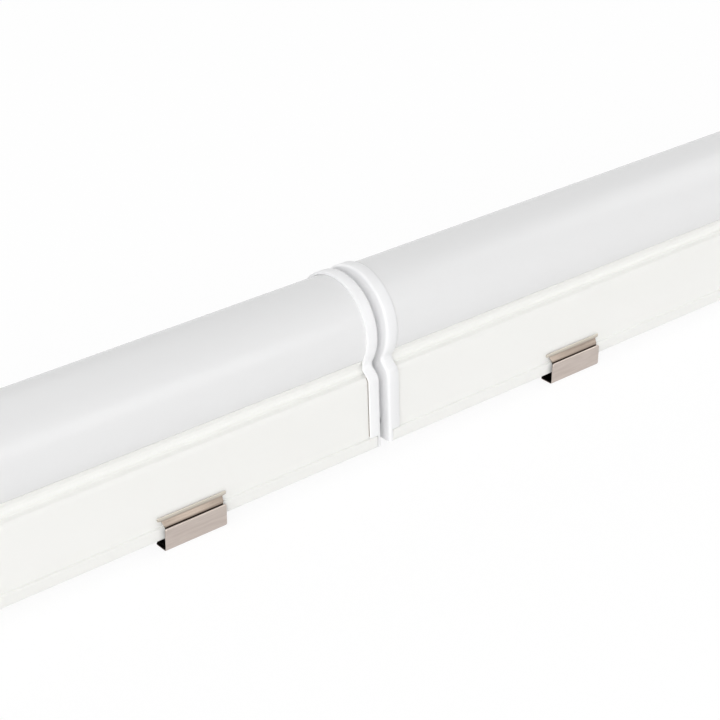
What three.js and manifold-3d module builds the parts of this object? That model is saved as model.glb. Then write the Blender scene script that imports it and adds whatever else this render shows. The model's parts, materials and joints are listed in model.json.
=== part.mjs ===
// A linked pair of weatherproof led battens, lying on their mounting clips with the diffusers up.
// Millimetres. X runs along the battens, Z is up, and the origin is at the bottom centre of the pair.
// Each batten is built in its own frame: X from its inlet end, Z from its underside.

import * as THREE from "three";
import { mergeVertices } from "three/addons/utils/BufferGeometryUtils.js";
import Module from "manifold-3d";

const wasm = await Module();
wasm.setup();

// Lengths along the pair
const battenLength = 600;
const linkGap = 3.7;
const clearance = 0.3;
const overrun = 1;

// Housing section: the rails that the clips hold, the leaning sides, the shoulder and the neck
const railProud = 0.8;
const railHeight = 4.4;
const sideFootHalf = 19.5;
const sideLean = 1.2;
const sideHeadHeight = 24.8;
const shoulderRadius = 3;
const shoulderTurn = THREE.MathUtils.degToRad(50);
const ledgeInset = 3.2;
const ledgeRise = 2.5;
const ridgeProud = 0.2;
const ridgeRise = 0.6;
const ridgeWidth = 0.6;
const neckStep = 0.6;
const neckBevel = 0.6;
const lipReach = 0.8;
const lipRise = 5.2;
const lipWidth = 1.5;
const lipProud = 0.6;
const lipBevel = 0.3;
const housingWall = 1.5;
const neckWall = 0.9;
const shelfDepth = 1.6;
const shelfWall = 1.2;

// Diffuser section: a round crown whose feet stand in the housing's neck
const crownReach = 2.1;
const crownRise = 8.2;
const diffuserWall = 1.5;
const footWall = 1.2;

// Ribs and screw ports of the housing, and how far they are milled back at its ends
const ribWall = 1;
const ribReach = 1.9;
const trayDrop = 3.6;
const portInset = 6.5;
const portHeight = 6.4;
const portRadius = 3;
const portWeb = 2.4;
const millGap = 1.5;

// End caps
const capPlate = 1.4;
const capDepth = 4.7;
const capProud = 1.1;
const skirtWall = 0.8;
const capNeckLap = 0.5;
const spigotDepth = 8.5;
const spigotWall = 1.2;
const gasketWall = 1;
const gasketLength = 4;
const bossRadius = 2.7;

// Cap screws
const screwRadius = 1.35;
const screwLength = 18;
const screwHeadRadius = 2.4;
const screwHeadDepth = 1.2;
const recessReach = 1.6;
const recessWidth = 0.6;
const recessDepth = 0.8;

// Connectors: a plug at the outlet end enters the inlet socket of the next batten
const plugWidth = 16;
const plugThick = 10;
const plugCorner = 2.5;
const plugHeight = 13;
const plugReach = 15;
const plugTail = 14;
const plugFlange = 2;
const plugFlangeDepth = 2;
const socketClear = 0.5;
const socketWall = 1.6;
const socketSpare = 1;
const socketFloor = 2;
const sealRadial = 1.1;
const sealProud = 0.2;
const sealLength = 2;
const sealSetback = 4;
const pinPitch = 4.6;
const pinRadius = 1.2;
const pinReach = 9.5;
const pinTail = 2.5;
const contactSpare = 1.5;
const blankFlange = 1.5;
const blankFlangeDepth = 2;

// Gear inside each batten
const trayWall = 0.8;
const trayLedge = 4.1;
const trayFlangeDrop = 7;
const trayInset = 26;
const boardHalf = 9;
const boardThick = 1.2;
const boardInset = 6;
const chipCount = 28;
const chipLength = 3.5;
const chipWidth = 2.8;
const chipThick = 0.7;
const driverLength = 160;
const driverPortGap = 0.5;
const driverCableGap = 2.1;
const driverStart = 90;
const driverWall = 1;
const driverLidWall = 1.2;
const driverLidRim = 1.8;
const terminalLength = 24;
const terminalHalf = 9.5;
const terminalDrop = 10;
const terminalStart = 36;
const terminalBore = 1.6;
const terminalPitch = 6;
const leadThick = 2;
const leadHalf = 3;
const leadHeight = plugHeight;
const leadBend = 5;
const ledLeadRun = 8;
const ledLeadHalf = 2;
const ledLeadHole = 4;
const leadBendShare = 0.75;
const throughThick = 3;
const throughHalf = 4;
const throughDrop = 4;
const throughRun = 6;
const throughFall = 14;

// Mounting clips: a bracket with two upright plates, and a spring whose leaves hook over the rails
const clipWidth = 24;
const clipReach = 1.9;
const clipDrop = 4;
const clipPlateTop = 4.6;
const clipWall = 0.7;
const clipBend = 1.6;
const clipStrapHalf = 8.5;
const clipStrapEnd = 18;
const clipStrapCorner = 2.5;
const springWall = 0.45;
const springFlatHalf = 10;
const springRampHalf = 14;
const springBend = 0.9;
const springKnee = 5;
const contactHeight = 6.6;
const flareLap = 0.1;
const flareRise = 1.4;
const flareReach = 0.6;
const flareExtra = 1.4;
const clipSlotHalf = 2.3;
const clipSlotReach = 2.5;
const innerClipPlaces = [-81, 91];
const outerClipInset = 90;

// Faceting, and how near two points of a mesh are welded
const crownSteps = 12;
const innerCrownSteps = 6;
const bendSteps = 4;
const roundSides = 12;
const weldDistance = 0.00001;

// Colours, roughness and metalness of the finishes
const finishes = {
  housing_white: [0xf1f0ea, 0.45, 0],
  opal_diffuser: [0xe6e6e6, 0.4, 0],
  cap_white: [0xf2f3f5, 0.4, 0],
  connector_white: [0xe9e9e6, 0.5, 0],
  tray_white: [0xf0f0ee, 0.5, 0.3],
  board_white: [0xf6f6f2, 0.4, 0],
  driver_grey: [0xc9cbcc, 0.5, 0.5],
  terminal_grey: [0x9b9d9c, 0.6, 0],
  cable_white: [0xe4e4e0, 0.6, 0],
  seal_rubber: [0x5a5c5e, 0.8, 0],
  brass_pin: [0xc8a85a, 0.3, 1],
  screw_steel: [0xb8b9ba, 0.35, 1],
  clip_steel: [0xcdc0b9, 0.35, 1],
};

// Points on an arc about (cy, cz), from one angle to another
function arc(cy, cz, radius, from, to, steps) {
  const points = [];
  for (let i = 0; i <= steps; i += 1) {
    const turn = from + ((to - from) * i) / steps;
    points.push([cy + radius * Math.cos(turn), cz + radius * Math.sin(turn)]);
  }
  return points;
}

// A closed outline from its +Y half, listed from the centre line round and back to it
function bothSides(half) {
  const other = half.map(([y, z]) => [-y, z]).reverse();
  return half.concat(other.filter(([y]) => y !== 0));
}

// A rectangle with rounded corners, centred on (cy, cz)
function roundedOutline(cy, cz, width, height, corner) {
  const across = width / 2 - corner;
  const along = height / 2 - corner;
  const quarter = Math.PI / 2;
  const corners = [[across, along], [-across, along], [-across, -along], [across, -along]];
  return corners.flatMap(([y, z], i) => (
    arc(cy + y, cz + z, corner, i * quarter, (i + 1) * quarter, bendSteps)
  ));
}

// A strip of even thickness that follows a path of points
function stripOutline(path, thickness) {
  const sideOf = (sign) => path.map((point, i) => {
    const before = path[Math.max(i - 1, 0)];
    const after = path[Math.min(i + 1, path.length - 1)];
    const a = new THREE.Vector2(point[0] - before[0], point[1] - before[1]);
    const b = new THREE.Vector2(after[0] - point[0], after[1] - point[1]);
    const first = (i === 0 ? b : a).normalize();
    const last = (i === path.length - 1 ? first : b).normalize();
    const share = (sign * thickness) / 2 / (1 + first.dot(last));
    return [point[0] - (first.y + last.y) * share, point[1] + (first.x + last.x) * share];
  });
  return sideOf(-1).concat(sideOf(1).reverse());
}

// A closed mesh as a solid, and a solid as a mesh
function toSolid(geometry) {
  geometry.deleteAttribute("normal");
  geometry.deleteAttribute("uv");
  const merged = mergeVertices(geometry, weldDistance);
  const vertProperties = new Float32Array(merged.attributes.position.array);
  const triVerts = new Uint32Array(merged.index.array);
  return new wasm.Manifold(new wasm.Mesh({ numProp: 3, vertProperties, triVerts }));
}

function toGeometry(solid) {
  const mesh = solid.getMesh();
  const geometry = new THREE.BufferGeometry();
  geometry.setAttribute("position", new THREE.BufferAttribute(new Float32Array(mesh.vertProperties), 3));
  geometry.setIndex(new THREE.BufferAttribute(new Uint32Array(mesh.triVerts), 1));
  geometry.computeVertexNormals();
  return geometry;
}

function extruded(outline, depth) {
  const shape = new THREE.Shape(outline.map(([a, b]) => new THREE.Vector2(a, b)));
  return new THREE.ExtrudeGeometry(shape, { depth, bevelEnabled: false });
}

// An outline across the batten, in (Y, Z), carried along X
function alongX(outline, from, to) {
  const geometry = extruded(outline, to - from);
  const turn = new THREE.Matrix4().makeBasis(
    new THREE.Vector3(0, 1, 0),
    new THREE.Vector3(0, 0, 1),
    new THREE.Vector3(1, 0, 0),
  );
  geometry.applyMatrix4(turn);
  geometry.translate(from, 0, 0);
  return toSolid(geometry);
}

// An outline seen from the side, in (X, Z), carried across from -half to half
function acrossY(outline, half) {
  const geometry = extruded(outline, half * 2);
  geometry.rotateX(Math.PI / 2);
  geometry.translate(0, half, 0);
  return toSolid(geometry);
}

// An outline seen from above, in (X, Y), carried up
function upZ(outline, from, to) {
  const geometry = extruded(outline, to - from);
  geometry.translate(0, 0, from);
  return toSolid(geometry);
}

function block(x0, x1, y0, y1, z0, z1) {
  const geometry = new THREE.BoxGeometry(x1 - x0, y1 - y0, z1 - z0);
  geometry.translate((x0 + x1) / 2, (y0 + y1) / 2, (z0 + z1) / 2);
  return toSolid(geometry);
}

// A rod or cone along X, with its radius at each end
function rodX(x0, x1, y, z, startRadius, endRadius = startRadius) {
  const geometry = new THREE.CylinderGeometry(endRadius, startRadius, x1 - x0, roundSides);
  geometry.rotateZ(-Math.PI / 2);
  geometry.translate((x0 + x1) / 2, y, z);
  return toSolid(geometry);
}

function rodZ(x, y, z0, z1, radius) {
  const geometry = new THREE.CylinderGeometry(radius, radius, z1 - z0, roundSides);
  geometry.rotateX(Math.PI / 2);
  geometry.translate(x, y, (z0 + z1) / 2);
  return toSolid(geometry);
}

function joined(solids) {
  return solids.reduce((whole, solid) => whole.add(solid));
}

// Sizes that several pieces share
const bodyStart = capPlate + clearance;
const bodyEnd = battenLength - bodyStart;
const railHalf = sideFootHalf + railProud;
const sideHeadHalf = sideFootHalf - sideLean;
const ledgeHalf = sideHeadHalf - ledgeInset;
const neckHalf = ledgeHalf - neckStep;
const lipHalf = neckHalf + lipReach;
const ledgeHeight = sideHeadHeight + ledgeRise;
const lipHeight = ledgeHeight + lipRise;
const crownRadius = lipHalf + crownReach;
const crownCentre = lipHeight + crownRise;
const capNeckHalf = lipHalf + capNeckLap;
const millBack = spigotDepth + millGap;
const portSide = sideFootHalf - portInset;
const driverHalf = portSide - portRadius - driverPortGap;
const socketDepth = plugReach + socketSpare;
const contactDepth = pinReach - socketSpare + contactSpare;
const throughHeight = plugHeight - throughDrop;
const clipHalf = railHalf + clipReach;
const trayHeight = sideHeadHeight - trayDrop;
const trayEnd = battenLength - trayInset;
const trayTop = trayHeight + trayWall;
const gearTop = trayHeight - clearance;
const ridgeHalf = ledgeHalf + ridgeProud;
const ridgeFoot = ledgeHeight + ridgeRise;
const ridgeTop = ridgeFoot + ridgeWidth;
const lipFoot = lipHeight - lipWidth;
const neckInnerHalf = neckHalf - neckWall;
const footOuterHalf = neckInnerHalf - clearance;
const footInnerHalf = footOuterHalf - footWall;
const shelfHalf = neckInnerHalf - shelfDepth;
const shelfTop = ledgeHeight;
const shelfFoot = shelfTop - shelfWall;
const diffuserFoot = shelfTop + clearance;
const diffuserSeat = lipHeight + clearance / 2;
const screwPlaces = [-portSide, portSide];

// The half width of the leaning side at a height
function sideHalfAt(height) {
  return sideFootHalf - ((sideFootHalf - sideHeadHalf) * height) / sideHeadHeight;
}

// The half width inside the housing at a height: beside the leaning side, under the shoulder or at the shelf
function insideHalfAt(height) {
  if (height < sideHeadHeight) {
    return sideHalfAt(height) - housingWall;
  }
  const climbShare = Math.min((height - sideHeadHeight) / (shelfFoot - sideHeadHeight), 1);
  return THREE.MathUtils.lerp(sideHeadHalf - housingWall, shelfHalf, climbShare);
}

// The housing's shoulder, or the same arc moved out from it
function shoulder(proud) {
  const centre = sideHeadHalf - shoulderRadius;
  return arc(centre, sideHeadHeight, shoulderRadius + proud, 0, shoulderTurn, bendSteps);
}

// The half width of a circle about the crown's centre at a height
function crownHalfAt(radius, height) {
  return Math.sqrt(radius ** 2 - (crownCentre - height) ** 2);
}

// Half of an arc over the crown, from a half width on its flank up to the centre line
function crownArc(radius, half, steps = crownSteps) {
  const start = -Math.acos(half / radius);
  const points = arc(0, crownCentre, radius, start, Math.PI / 2, steps);
  points[steps] = [0, crownCentre + radius];
  return points;
}

// The housing: an open channel with its rails, shoulder, ridged neck, shelf, ribs and screw ports
function housing() {
  const outer = [
    [railHalf, 0],
    [railHalf, railHeight],
    [sideHalfAt(railHeight), railHeight],
    ...shoulder(0),
    [ledgeHalf, ledgeHeight],
    [ridgeHalf, ridgeFoot],
    [ridgeHalf, ridgeTop],
    [neckHalf, ridgeTop + neckBevel],
    [neckHalf, lipFoot - lipBevel],
    [lipHalf - lipProud, lipFoot],
    [lipHalf, lipHeight],
  ];
  const inner = [
    [neckInnerHalf, lipHeight],
    [neckInnerHalf, shelfTop],
    [shelfHalf, shelfTop],
    [shelfHalf, shelfFoot],
    [insideHalfAt(sideHeadHeight), sideHeadHeight],
    [insideHalfAt(housingWall), housingWall],
  ];
  const half = outer.concat(inner);
  const outline = half.concat(half.map(([y, z]) => [-y, z]).reverse());
  const start = millBack;
  const end = battenLength - millBack;
  const ribRoot = insideHalfAt(trayHeight) + housingWall / 2;
  const ribTip = insideHalfAt(trayTop) - ribReach;
  const ribBases = [trayHeight - clearance - ribWall, trayTop + clearance];
  const web = portWeb / 2;
  const solids = [alongX(outline, bodyStart, bodyEnd)];
  const cores = [];
  for (const side of [-1, 1]) {
    const reach = [side * ribTip, side * ribRoot].sort((a, b) => a - b);
    for (const base of ribBases) {
      solids.push(block(start, end, ...reach, base, base + ribWall));
    }
    const place = side * portSide;
    solids.push(rodX(start, end, place, portHeight, portRadius));
    solids.push(block(start, end, place - web, place + web, housingWall / 2, portHeight));
    cores.push(rodX(0, battenLength, place, portHeight, screwRadius + clearance));
  }
  return joined(solids).subtract(joined(cores));
}

// The diffuser: a round crown with a seat on the lip and two feet inside the neck
function diffuser() {
  const innerRadius = crownRadius - diffuserWall;
  const webTop = diffuserSeat + diffuserWall;
  const outer = crownArc(crownRadius, crownHalfAt(crownRadius, diffuserSeat));
  const inner = crownArc(innerRadius, crownHalfAt(innerRadius, webTop)).reverse();
  const foot = [
    [footInnerHalf, webTop],
    [footInnerHalf, diffuserFoot],
    [footOuterHalf, diffuserFoot],
    [footOuterHalf, diffuserSeat],
  ];
  const outerWhole = outer.concat(outer.slice(0, -1).map(([y, z]) => [-y, z]).reverse());
  const innerWhole = inner.slice(1).map(([y, z]) => [-y, z]).reverse().concat(inner);
  const otherFoot = foot.map(([y, z]) => [-y, z]).reverse();
  return alongX(outerWhole.concat(otherFoot, innerWhole, foot), bodyStart, bodyEnd);
}

// The end cap's section, which follows the housing and diffuser at a distance outside them
function capOutline(proud) {
  const neck = capNeckHalf - capProud + proud;
  const arcToSlope = shoulder(proud);
  const [slopeHalf, slopeHeight] = arcToSlope[bendSteps];
  return bothSides([
    [0, 0],
    [sideFootHalf + proud, 0],
    ...arcToSlope,
    [neck, slopeHeight + (slopeHalf - neck) / Math.tan(shoulderTurn)],
    ...crownArc(crownRadius + proud, neck),
  ]);
}

// The free inside of the tube that housing and diffuser make, drawn in by a distance
function boreOutline(distance) {
  const floor = housingWall + distance;
  const head = sideHeadHeight - distance;
  const web = diffuserSeat + diffuserWall + distance;
  const radius = crownRadius - diffuserWall - distance;
  return bothSides([
    [0, floor],
    [insideHalfAt(floor) - distance, floor],
    [insideHalfAt(head) - distance, head],
    [shelfHalf - distance, shelfFoot - distance],
    [shelfHalf - distance, web],
    ...crownArc(radius, crownHalfAt(radius, web), innerCrownSteps),
  ]);
}

// A hole through an end cap's plate, in the outline of its connector
function capHole(width, thick, corner) {
  const outline = roundedOutline(0, plugHeight, width + clearance * 2, thick + clearance * 2, corner);
  return alongX(outline, -overrun, capDepth);
}

// An end cap: plate, skirt, spigot and screw bosses, with its connector's hole
function endCap(hole) {
  const skirtEnd = capDepth + overrun;
  const roomHalf = railHalf + capProud;
  const railRoom = block(capPlate, skirtEnd, -roomHalf, roomHalf, -overrun, railHeight + clearance);
  const skirt = alongX(capOutline(capProud), capPlate / 2, capDepth)
    .subtract(alongX(capOutline(capProud - skirtWall), 0, skirtEnd))
    .subtract(railRoom);
  const spigotInset = clearance * 2 + gasketWall;
  const spigot = alongX(boreOutline(spigotInset), capPlate / 2, spigotDepth)
    .subtract(alongX(boreOutline(spigotInset + spigotWall), 0, spigotDepth + overrun));
  const solids = [alongX(capOutline(capProud), 0, capPlate), skirt, spigot];
  const cuts = [hole];
  const holeRadius = screwRadius + clearance;
  const sinkRadius = screwHeadRadius + clearance;
  for (const place of screwPlaces) {
    solids.push(rodX(capPlate / 2, spigotDepth, place, portHeight, bossRadius));
    cuts.push(rodX(-overrun, spigotDepth + overrun, place, portHeight, holeRadius));
    cuts.push(rodX(-overrun, 0, place, portHeight, sinkRadius));
    cuts.push(rodX(0, screwHeadDepth + clearance, place, portHeight, sinkRadius, holeRadius));
  }
  return joined(solids).subtract(joined(cuts));
}

// The gasket: a ring round the cap's spigot, pressed against the tube's inside
function gasket() {
  const start = bodyStart + clearance;
  const outer = alongX(boreOutline(clearance), start, start + gasketLength);
  const inner = alongX(boreOutline(clearance + gasketWall), start - overrun, start + gasketLength + overrun);
  return outer.subtract(inner);
}

// A countersunk cap screw with a cross recess
function capScrew(place) {
  const head = rodX(clearance / 2, screwHeadDepth, place, portHeight, screwHeadRadius, screwRadius);
  const shank = rodX(screwHeadDepth / 2, screwLength, place, portHeight, screwRadius);
  const slot = (across, up) => block(
    -overrun, recessDepth, place - across / 2, place + across / 2, portHeight - up / 2, portHeight + up / 2,
  );
  return head.add(shank).subtract(slot(recessReach, recessWidth).add(slot(recessWidth, recessReach)));
}

function plugOutline(proud) {
  const width = plugWidth + proud * 2;
  return roundedOutline(0, plugHeight, width, plugThick + proud * 2, plugCorner + proud);
}

const contactPlaces = [-pinPitch, 0, pinPitch];
const plugTip = -(linkGap + plugReach);

// The outlet plug, held from inside by its flange, with a groove for its seal and three contact bores
function outletPlug() {
  const shank = alongX(plugOutline(0), plugTip, plugTail);
  const flange = alongX(plugOutline(plugFlange), bodyStart, bodyStart + plugFlangeDepth);
  const grooveStart = -(linkGap + sealSetback + sealLength + clearance);
  const grooveEnd = grooveStart + sealLength + clearance * 2;
  const grooveDepth = sealRadial - sealProud + clearance;
  const groove = alongX(plugOutline(overrun), grooveStart, grooveEnd);
  const core = alongX(plugOutline(-grooveDepth), grooveStart - overrun, grooveEnd + overrun);
  const bores = contactPlaces.map((place) => (
    rodX(plugTip - overrun, plugTip + contactDepth, place, plugHeight, pinRadius + clearance)
  ));
  return shank.add(flange).subtract(groove.subtract(core)).subtract(joined(bores));
}

// The plug's seal: a rounded ring in the groove, just proud of the plug
function plugSeal() {
  const end = -(linkGap + sealSetback);
  const ring = alongX(plugOutline(sealProud), end - sealLength, end);
  const hole = alongX(plugOutline(sealProud - sealRadial), end - sealLength - overrun, end + overrun);
  return ring.subtract(hole);
}

// The inlet socket: a deep sleeve whose floor carries the pins
const socketEnd = socketDepth + socketFloor;

function inletSocket() {
  const sleeve = alongX(plugOutline(socketClear + socketWall), 0, socketEnd);
  const mouth = alongX(plugOutline(socketClear), -overrun, socketDepth);
  const holes = contactPlaces.map((place) => (
    rodX(socketDepth - overrun, socketEnd + overrun, place, plugHeight, pinRadius + clearance)
  ));
  return sleeve.subtract(mouth).subtract(joined(holes));
}

function inletPin(place) {
  return rodX(socketDepth - pinReach, socketEnd + pinTail, place, plugHeight, pinRadius);
}

// The gear tray: a plate in the housing's slots with two flanges, holed for the led lead
const driverEnd = driverStart + driverLength;
const ledLeadRise = trayTop - clearance - leadHeight;
const ledLeadBend = Math.min(leadBend, ledLeadRise * leadBendShare);
const ledLeadPlace = driverEnd + ledLeadRun + ledLeadBend;

function gearTray() {
  const plateHalf = insideHalfAt(trayTop) - clearance;
  const flangeHalf = plateHalf - trayLedge;
  const parts = [block(trayInset, trayEnd, -plateHalf, plateHalf, trayHeight, trayTop)];
  for (const edge of [-flangeHalf, flangeHalf - trayWall]) {
    parts.push(block(trayInset, trayEnd, edge, edge + trayWall, trayHeight - trayFlangeDrop, trayTop));
  }
  const hole = rodZ(ledLeadPlace, 0, trayHeight - overrun, trayTop + overrun, ledLeadHole);
  return joined(parts).subtract(hole);
}

// The led board and its row of chips
function ledBoard() {
  const start = trayInset + boardInset;
  const end = trayEnd - boardInset;
  const top = trayTop + boardThick;
  const parts = [block(start, end, -boardHalf, boardHalf, trayTop, top)];
  const pitch = (end - start) / chipCount;
  for (let i = 0; i < chipCount; i += 1) {
    const x0 = start + pitch * (i + 1 / 2) - chipLength / 2;
    const x1 = x0 + chipLength;
    parts.push(block(x0, x1, -chipWidth / 2, chipWidth / 2, top - chipThick / 2, top + chipThick));
  }
  return joined(parts);
}

// The driver's case, open at the bottom, and the lid that closes it
const cableTop = housingWall + clearance + throughThick;
const lidBottom = cableTop + driverCableGap;
const lidTop = lidBottom + driverLidWall;

function driverCase() {
  const bottom = lidTop + clearance;
  const shell = block(driverStart, driverEnd, -driverHalf, driverHalf, bottom, gearTop);
  const half = driverHalf - driverWall;
  const start = driverStart + driverWall;
  const end = driverEnd - driverWall;
  return shell.subtract(block(start, end, -half, half, bottom - overrun, gearTop - driverWall));
}

function driverLid() {
  const plate = block(driverStart, driverEnd, -driverHalf, driverHalf, lidBottom, lidTop);
  const half = driverHalf - driverWall - clearance;
  const start = driverStart + driverWall + clearance;
  const end = driverEnd - driverWall - clearance;
  return plate.add(block(start, end, -half, half, lidBottom + driverLidWall / 2, lidTop + driverLidRim));
}

// The terminal block, with a wire bore and a screw well for each core
function terminalBlock() {
  const end = terminalStart + terminalLength;
  const body = block(terminalStart, end, -terminalHalf, terminalHalf, gearTop - terminalDrop, gearTop);
  const cuts = [-terminalPitch, 0, terminalPitch].flatMap((place) => [-1, 1].map((way) => {
    const x = (terminalStart + end) / 2 + (way * terminalLength) / 4;
    return rodZ(x, place, gearTop - terminalDrop - overrun, gearTop - terminalDrop / 2, terminalBore);
  }));
  return body.subtract(joined(cuts));
}

// Flat leads, as strips seen from the side
function straightLead(from, to) {
  const low = leadHeight - leadThick / 2;
  return block(from + clearance, to - clearance, -leadHalf, leadHalf, low, low + leadThick);
}

function ledLead() {
  const bendX = driverEnd + ledLeadRun;
  const bendZ = leadHeight + ledLeadBend;
  const path = [
    [driverEnd + clearance, leadHeight],
    ...arc(bendX, bendZ, ledLeadBend, -Math.PI / 2, 0, bendSteps),
    [ledLeadPlace, leadHeight + ledLeadRise],
  ];
  return acrossY(stripOutline(path, leadThick), ledLeadHalf);
}

// The through cable drops from the inlet to the housing's floor and climbs again to the outlet
function throughCable() {
  const floor = cableTop - throughThick / 2;
  const start = socketEnd + clearance;
  const end = battenLength - plugTail - clearance;
  const path = [
    [start, throughHeight],
    [start + throughRun, throughHeight],
    [start + throughRun + throughFall, floor],
    [end - throughRun - throughFall, floor],
    [end - throughRun, throughHeight],
    [end, throughHeight],
  ];
  return acrossY(stripOutline(path, throughThick), throughHalf);
}

// The clip's bracket: a base strap with two wider side plates and a slot for its fixing screw
function clipBracket() {
  const bottom = -clipDrop;
  const bendCentre = [clipHalf - clipBend, bottom + clipBend];
  const half = [
    [0, bottom],
    ...arc(...bendCentre, clipBend, -Math.PI / 2, 0, bendSteps),
    [clipHalf, clipPlateTop],
    [clipHalf - clipWall, clipPlateTop],
    ...arc(...bendCentre, clipBend - clipWall, 0, -Math.PI / 2, bendSteps),
    [0, bottom + clipWall],
  ];
  const mirrored = half.slice(1, -1).map(([y, z]) => [-y, z]).reverse();
  const whole = alongX(half.concat(mirrored), -clipWidth / 2, clipWidth / 2);
  const corner = clipStrapHalf + clipStrapCorner;
  const cuts = [clipSlot()];
  for (const side of [-1, 1]) {
    const waist = [
      [side * clipStrapHalf, -clipStrapEnd + clipStrapCorner],
      [side * corner, -clipStrapEnd],
      [side * clipWidth, -clipStrapEnd],
      [side * clipWidth, clipStrapEnd],
      [side * corner, clipStrapEnd],
      [side * clipStrapHalf, clipStrapEnd - clipStrapCorner],
    ];
    cuts.push(upZ(waist, bottom - overrun, bottom + clipWall + overrun));
  }
  return whole.subtract(joined(cuts));
}

function clipSlot() {
  const low = -clipDrop - overrun;
  return joined([
    block(-clipSlotReach, clipSlotReach, -clipSlotHalf, clipSlotHalf, low, 0),
    rodZ(-clipSlotReach, 0, low, 0, clipSlotHalf),
    rodZ(clipSlotReach, 0, low, 0, clipSlotHalf),
  ]);
}

// The clip's spring: flat on the base, raised under the rails, up beside them and in over their tops
const leafHalf = clipHalf - clipWall - clearance - springWall / 2;
const contactHalf = sideHalfAt(contactHeight) + clearance + springWall / 2;

function springHalfPath() {
  const flat = -clipDrop + clipWall + clearance + springWall / 2;
  const pad = -clearance - springWall / 2;
  return [
    [0, flat],
    [springFlatHalf, flat],
    [springRampHalf, pad],
    ...arc(leafHalf - springBend, pad + springBend, springBend, -Math.PI / 2, 0, bendSteps),
    [leafHalf, springKnee],
    [contactHalf, contactHeight],
  ];
}

function clipSpring() {
  const half = springHalfPath();
  const path = half.slice(1).map(([y, z]) => [-y, z]).reverse().concat(half);
  const width = clipWidth / 2;
  const parts = [alongX(stripOutline(path, springWall), -width, width)];
  for (const side of [-1, 1]) {
    const flare = [
      [side * contactHalf, contactHeight - flareLap],
      [side * (contactHalf + flareReach), contactHeight + flareRise],
    ];
    parts.push(alongX(stripOutline(flare, springWall), -width - flareExtra, width + flareExtra));
  }
  return joined(parts).subtract(clipSlot());
}

// The blanking cap over the free outlet plug: a closed sleeve with a grip rim
function blankingCap() {
  const mouthX = -clearance;
  const roomEnd = plugTip - overrun;
  const sleeve = alongX(plugOutline(socketClear + socketWall), roomEnd - socketFloor, mouthX);
  const rim = alongX(plugOutline(socketClear + socketWall + blankFlange), mouthX - blankFlangeDepth, mouthX);
  const room = alongX(plugOutline(socketClear), roomEnd, mouthX + overrun);
  return sleeve.add(rim).subtract(room);
}

const pair = new THREE.Group();

function material(slot) {
  const [color, roughness, metalness] = finishes[slot];
  return new THREE.MeshStandardMaterial({ color, roughness, metalness });
}

function addPiece(group, name, geometry, slot) {
  const mesh = new THREE.Mesh(geometry, material(slot));
  mesh.name = name;
  group.add(mesh);
  return mesh;
}

// Pieces at the inlet end of a batten, and pieces at its outlet end, drawn from the cap's face inwards
const socketWidth = plugWidth + (socketClear + socketWall) * 2;
const socketThick = plugThick + (socketClear + socketWall) * 2;
const socketCorner = plugCorner + socketClear + socketWall + clearance;
const inletHole = capHole(socketWidth, socketThick, socketCorner);
const outletHole = capHole(plugWidth, plugThick, plugCorner + clearance);
const gasketGeometry = toGeometry(gasket());
const screwGeometries = screwPlaces.map((place) => toGeometry(capScrew(place)));

const bodyPieces = [
  ["housing", toGeometry(housing()), "housing_white"],
  ["diffuser", toGeometry(diffuser()), "opal_diffuser"],
  ["gear_tray", toGeometry(gearTray()), "tray_white"],
  ["led_board", toGeometry(ledBoard()), "board_white"],
  ["driver_case", toGeometry(driverCase()), "driver_grey"],
  ["driver_lid", toGeometry(driverLid()), "driver_grey"],
  ["terminal_block", toGeometry(terminalBlock()), "terminal_grey"],
  ["supply_lead", toGeometry(straightLead(socketEnd + pinTail, terminalStart)), "cable_white"],
  ["driver_lead", toGeometry(straightLead(terminalStart + terminalLength, driverStart)), "cable_white"],
  ["led_lead", toGeometry(ledLead()), "cable_white"],
  ["through_cable", toGeometry(throughCable()), "cable_white"],
];
const inletPieces = [
  ["inlet_cap", toGeometry(endCap(inletHole)), "cap_white"],
  ["inlet_gasket", gasketGeometry, "seal_rubber"],
  ["inlet_screw_left", screwGeometries[0], "screw_steel"],
  ["inlet_screw_right", screwGeometries[1], "screw_steel"],
  ["inlet_socket", toGeometry(inletSocket()), "connector_white"],
  ["inlet_pin_line", toGeometry(inletPin(contactPlaces[0])), "brass_pin"],
  ["inlet_pin_earth", toGeometry(inletPin(contactPlaces[1])), "brass_pin"],
  ["inlet_pin_neutral", toGeometry(inletPin(contactPlaces[2])), "brass_pin"],
];
const outletPieces = [
  ["outlet_cap", toGeometry(endCap(outletHole)), "cap_white"],
  ["outlet_gasket", gasketGeometry, "seal_rubber"],
  ["outlet_screw_left", screwGeometries[0], "screw_steel"],
  ["outlet_screw_right", screwGeometries[1], "screw_steel"],
  ["outlet_plug", toGeometry(outletPlug()), "connector_white"],
  ["plug_seal", toGeometry(plugSeal()), "seal_rubber"],
];

// The battens, one after the other, with the outlet pieces turned to face the other way
const blankingReach = socketFloor + overrun - plugTip;
const pairLength = battenLength * 2 + linkGap + blankingReach;
const battenStarts = [-pairLength / 2, -pairLength / 2 + battenLength + linkGap];
const jointPlace = battenStarts[1] - linkGap / 2;

function turnedEnd(start) {
  const end = new THREE.Group();
  end.position.set(start + battenLength, 0, clipDrop);
  end.rotation.z = Math.PI;
  return end;
}

["near", "far"].forEach((tag, i) => {
  const batten = new THREE.Group();
  batten.position.set(battenStarts[i], 0, clipDrop);
  for (const [name, geometry, slot] of bodyPieces.concat(inletPieces)) {
    addPiece(batten, `${tag}_${name}`, geometry, slot);
  }
  const outletEnd = turnedEnd(battenStarts[i]);
  for (const [name, geometry, slot] of outletPieces) {
    addPiece(outletEnd, `${tag}_${name}`, geometry, slot);
  }
  pair.add(batten, outletEnd);
});

const freeEnd = turnedEnd(battenStarts[1]);
addPiece(freeEnd, "blanking_cap", toGeometry(blankingCap()), "connector_white");
pair.add(freeEnd);

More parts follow.
